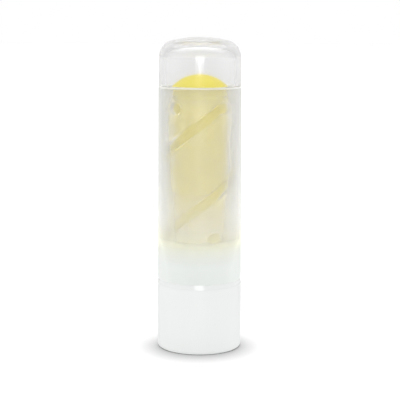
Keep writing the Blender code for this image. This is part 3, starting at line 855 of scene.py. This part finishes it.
ball = (BULLET_RADIUS ** 2 + BULLET_RISE ** 2) / (2 * BULLET_RISE)
rim_angle = math.asin(BULLET_RADIUS / ball)
dome = []
for step in range(DOME_STEPS):
    angle = rim_angle * step / DOME_STEPS
    dome.append((ball * math.sin(angle), BULLET_TOP - ball * (1 - math.cos(angle)), 0))
bullet = lathe("sunscreen_stick", fillet(dome + [
    (BULLET_RADIUS, BULLET_TOP - BULLET_RISE, DOME_ROUNDING),
    (BULLET_RADIUS, BULLET_SHOULDER, 0),
    (STUB_RADIUS, BULLET_SHOULDER, 0),
    (STUB_RADIUS, BULLET_FOOT, EDGE),
    (0, BULLET_FOOT, 0),
], closed=False), closed=False)
combine(bullet, ribs(PRESS_GAP))
round_normals(bullet, (BULLET_RADIUS, STUB_RADIUS))
fit(bullet, "sunscreen_bullet", "elevator")

# %% [markdown]
# ## Wax balm
#
# Set wax is smooth but not polished, with a soft sheen and faint clouds of about 2 mm where it cooled at
# another pace. Wax and oil have an IOR near 1.45. The clouds could be real hollows, but they are a change
# of tone, and so they are two close yellows. The colour is deeper than the one that reaches the eye,
# because inside the clear dome the stick gets light from the overhead softbox as well.

# %% Wax balm
CLOUD_WIDTH = 2.0 * MM
BALM_IOR, BALM_ROUGHNESS = 1.45, 0.5

balm, tree, output = new_material("yellow_wax_balm")
place = add_node(tree, "ShaderNodeTexCoord").outputs["Object"]
mottle = add_node(tree, "ShaderNodeTexNoise", {"Vector": place, "Scale": 1 / CLOUD_WIDTH, "Detail": 3.0})
tone = add_node(tree, "ShaderNodeValToRGB", {"Fac": mottle.outputs["Fac"]},
                stops=[(0.0, linear("#D5C647")), (1.0, linear("#DBCE52"))])
shader = add_node(tree, "ShaderNodeBsdfPrincipled", {
    "Base Color": tone.outputs["Color"], "Roughness": BALM_ROUGHNESS, "IOR": BALM_IOR})
tree.links.new(shader.outputs[0], output.inputs["Surface"])
bullet.data.materials.append(balm)
print("balm yellow, linear:", [round(c, 3) for c in linear("#D5C647")[:3]])

# %% [markdown]
# ## Cap
#
# The cap is one clear moulding. Its dome has a thick wall: a flat crown that runs on without a kink in a
# rounded shoulder, outside and inside. At an inner ledge the thick wall becomes a thin skirt, which hides
# the mechanism and widens a little towards its mouth. A rounded cylinder would give nearly the same
# outline, but a kink between crown and shoulder would show at once in the crescent of light. So both arcs
# share one tangent there.

# %% Shape of the cap
CAP_FOOT, CAP_TOP, LEDGE = 14.30, 63.17, 53.37
DOME_RADIUS, DOME_BORE = 8.27, 7.00
SKIRT_RADIUS, SKIRT_BORE, MOUTH_RADIUS, MOUTH_BORE = 8.31, 7.52, 8.49, 7.70
CROWN_RADIUS, SHOULDER_RADIUS, CROWN_THICKNESS, DOME_WALL = 25.0, 3.4, 1.45, 1.27
SKIRT_STEP, MOUTH_EDGE, MOUTH_LEAD_IN = 0.25, 0.06, 0.2


def dome_outline(radius, top, crown, shoulder, steps=14):
    """From the axis: a flat crown arc that runs on without a kink in a tighter shoulder."""
    lean = math.asin((radius - shoulder) / (crown - shoulder))
    height = top - crown + (crown - shoulder) * math.cos(lean)
    outline = [(crown * math.sin(lean * s / steps), top - crown * (1 - math.cos(lean * s / steps)))
               for s in range(steps)]
    for s in range(steps + 1):
        angle = lean + (math.pi / 2 - lean) * s / steps
        outline.append((radius - shoulder + shoulder * math.sin(angle),
                        height + shoulder * math.cos(angle)))
    return outline


crown = dome_outline(DOME_RADIUS, CAP_TOP, CROWN_RADIUS, SHOULDER_RADIUS)
ceiling = dome_outline(DOME_BORE, CAP_TOP - CROWN_THICKNESS, CROWN_RADIUS - CROWN_THICKNESS,
                       SHOULDER_RADIUS - DOME_WALL)
skirt = fillet([  # its two end points only lead into the walls of the dome, and are left out below
    (DOME_RADIUS, LEDGE + DOME_WALL, 0),
    (DOME_RADIUS, LEDGE, 0),
    (SKIRT_RADIUS, LEDGE - SKIRT_STEP, 0),
    (MOUTH_RADIUS, CAP_FOOT, MOUTH_EDGE),
    (MOUTH_BORE, CAP_FOOT, MOUTH_LEAD_IN),
    (SKIRT_BORE, LEDGE, EDGE),
    (DOME_BORE, LEDGE, EDGE),
    (DOME_BORE, LEDGE + DOME_WALL, 0),
], closed=False)
cap = lathe("cap_shell", crown + skirt[1:-1] + ceiling[::-1], closed=False)
fit(cap, "cap", "lid")

# %% [markdown]
# ## Clear faces of the cap
#
# The outside of the dome comes from a polished cavity and is a mirror. The inside comes from the core of
# the mould, which is polished less and blurs a little. The bore of the skirt is clouded most: right under
# the ledge, where the frosting looks denser, and towards the foot, where the mechanism fades out. One
# material could serve for all, but then the streak on the dome would be as soft as the rest.

# %% Clear faces of the cap
BORE_MILK = [(14.3, 0.24), (24.0, 0.24), (26.5, 0.19), (30.0, 0.07), (51.2, 0.07), (51.7, 0.2)]

cap.data.materials.append(clear_plastic("polished_san_dome", milk=0.0, back=0.5, roughness=0.03))
cap.data.materials.append(clear_plastic("core_side_san", milk=0.01, back=0.5, roughness=0.16))
cap.data.materials.append(clear_plastic("cloudy_san_bore", milk=BORE_MILK, back=0.9, roughness=0.22))

# %% [markdown]
# ## Frosting
#
# The skirt is frosted on its outer face, like etched glass. Roughness alone would blur, but not whiten.
# Real frosting scatters a part of the light and lets the rest through with a blur, and so this one mixes
# both.
#
# The share of scattered light grows at the rim of the tube, where one looks along the surface, and
# towards the foot, where the white collar and base stand close behind it. It is given by height, in steps
# read from what can be seen: just under a quarter low on the mechanism and under the ledge, so that the
# denoiser still looks through, less between them, and nearly all at the foot. The shade of the scattered
# light is painted light and shade, set by height after what lies close behind: white at the foot, warm over
# the foot of the cup, greyer over the tubes. A tint paints shade on what shows through right under the
# ledge, which keeps some light off. On the bevel of the ledge a whiter shade and more scattered light
# paint a highlight.
#
# The grain of frosting is finer than 0.05 mm. It is drawn 0.2 mm wide, one pixel, as a slight bump.

# %% Shares of the frosting
# The last step lies on the ledge's bevel and helps paint a highlight there.
CLOUDING = [
    (14.3, 0.9), (17.5, 0.88), (19.0, 0.82), (20.5, 0.78), (21.2, 0.72), (21.9, 0.60), (22.4, 0.44),
    (22.9, 0.24), (30.0, 0.23), (40.0, 0.19), (49.0, 0.13), (51.5, 0.24), (53.05, 0.24), (53.15, 0.58)]
RIM_SHARE = [(20.0, 0.3), (26.0, 0.42), (32.0, 0.5)]
RIM_CLOUDING, RIM_POWER = 4.0, 2.5
# Painted shade on what shows through right under the ledge.
LEDGE_PAINTED_SHADE = [(50.0, 1.0), (51.4, 0.985), (52.8, 0.79), (53.05, 0.79), (53.15, 1.0)]
# Painted light and shade by height: whiter at the foot, warm over the cup, greyer over the tubes, darkest
# under the ledge.
FROST_PAINTED_LIGHT_AND_SHADE = [
    (18.0, "#EEF1EF"), (20.6, "#EFF1E8"), (22.0, "#FBFCEB"), (23.4, "#FDFDEE"), (25.0, "#F8F8F0"),
    (28.0, "#F5F6F3"), (35.0, "#E8E9E7"), (49.0, "#E3E4E2"), (51.4, "#DFE0DE"), (53.05, "#DCDDDB"),
    # The last shade, on the ledge's bevel, is a painted highlight.
    (53.15, "#F1F1F0")]
print("steps of the clouding:", len(CLOUDING))

# %% Frosting
FROST_WIDTH, FROST_RELIEF, FROST_ROUGHNESS, FROST_BACK = 0.2 * MM, 0.2, 0.26, 0.85

frost, tree, output = new_material("frosted_san_skirt")
place = add_node(tree, "ShaderNodeTexCoord").outputs["Object"]
grain = add_node(tree, "ShaderNodeTexNoise", {"Vector": place, "Scale": 1 / FROST_WIDTH, "Detail": 2.0})
bump = add_node(tree, "ShaderNodeBump", {
    "Height": grain.outputs["Fac"], "Strength": FROST_RELIEF, "Distance": GRAIN_DEPTH})
# Its colour carries the painted shade under the ledge.
blurred = add_node(tree, "ShaderNodeBsdfPrincipled", {
    "Base Color": by_height(tree, LEDGE_PAINTED_SHADE), "Roughness": FROST_ROUGHNESS, "IOR": PLASTIC_IOR,
    "Transmission Weight": 1.0, "Normal": bump.outputs["Normal"]})
# The scattered light takes its painted light and shade from the height on the cap.
shade = by_height(tree, [(height, linear(colour)) for height, colour in FROST_PAINTED_LIGHT_AND_SHADE])
ahead = add_node(tree, "ShaderNodeBsdfTranslucent", {"Color": shade})
behind = add_node(tree, "ShaderNodeBsdfDiffuse", {"Color": shade})
scatter = add_node(tree, "ShaderNodeMixShader", {0: FROST_BACK, 1: ahead.outputs[0], 2: behind.outputs[0]})
facing = add_node(tree, "ShaderNodeLayerWeight", {"Blend": 0.5})
rim = add_node(tree, "ShaderNodeMath", {0: facing.outputs["Facing"], 1: RIM_POWER}, operation="POWER")
slant = add_node(tree, "ShaderNodeMath", {0: rim.outputs[0], 1: RIM_CLOUDING}, operation="MULTIPLY")
share = add_node(tree, "ShaderNodeMath", {
    0: slant.outputs[0], 1: by_height(tree, RIM_SHARE), 2: by_height(tree, CLOUDING)},
    operation="MULTIPLY_ADD", use_clamp=True)
frosting = add_node(tree, "ShaderNodeMixShader", {
    0: share.outputs[0], 1: blurred.outputs[0], 2: scatter.outputs[0]})
tree.links.new(frosting.outputs[0], output.inputs["Surface"])
cap.data.materials.append(frost)
print("frosting nodes:", len(tree.nodes))

# %% [markdown]
# ## Faces of the cap
#
# The four finishes could be four meshes, but the cap is one moulding, and clear plastic has to be one
# closed skin to bend light rightly. So each face of the one mesh takes its finish from where it lies:
# above or below the ledge, and outside or inside.

# %% Faces of the cap
OUTSIDE_DOME, INSIDE_DOME, INSIDE_SKIRT, OUTSIDE_SKIRT = range(4)

for polygon in cap.data.polygons:
    centre = polygon.center
    inward = polygon.normal.dot(Vector((*centre.xy, 0))) < 0
    under_ceiling = centre.z < (CAP_TOP - CROWN_THICKNESS + SLACK) * MM
    inside = inward or centre.xy.length < (DOME_BORE + SLACK) * MM and under_ceiling
    if centre.z < LEDGE * MM:
        polygon.material_index = INSIDE_SKIRT if inside else OUTSIDE_SKIRT
    else:
        polygon.material_index = INSIDE_DOME if inside else OUTSIDE_DOME

for index, material in enumerate(cap.data.materials):
    print(material.name, "faces:", sum(polygon.material_index == index for polygon in cap.data.polygons))

# %% [markdown]
# ## Light paths
#
# A ray that looks through cap, cam tube, guide tube and cup crosses eight surfaces on its way in and as
# many on its way out, and may be thrown to and fro between them. With the usual limits it would end there
# and leave dark stains. Clear shadows could be faked by ray visibility, but higher limits are simpler and
# true. Filter Glossy is off, because it would soften the softboxes wherever they are seen by way of
# another surface.

# %% Light paths
CLEAR_BOUNCES, DIFFUSE_BOUNCES = 96, 16

scene = bpy.context.scene
scene.cycles.max_bounces = CLEAR_BOUNCES
scene.cycles.transmission_bounces = CLEAR_BOUNCES
scene.cycles.glossy_bounces = CLEAR_BOUNCES
scene.cycles.diffuse_bounces = DIFFUSE_BOUNCES
scene.cycles.blur_glossy = 0.0
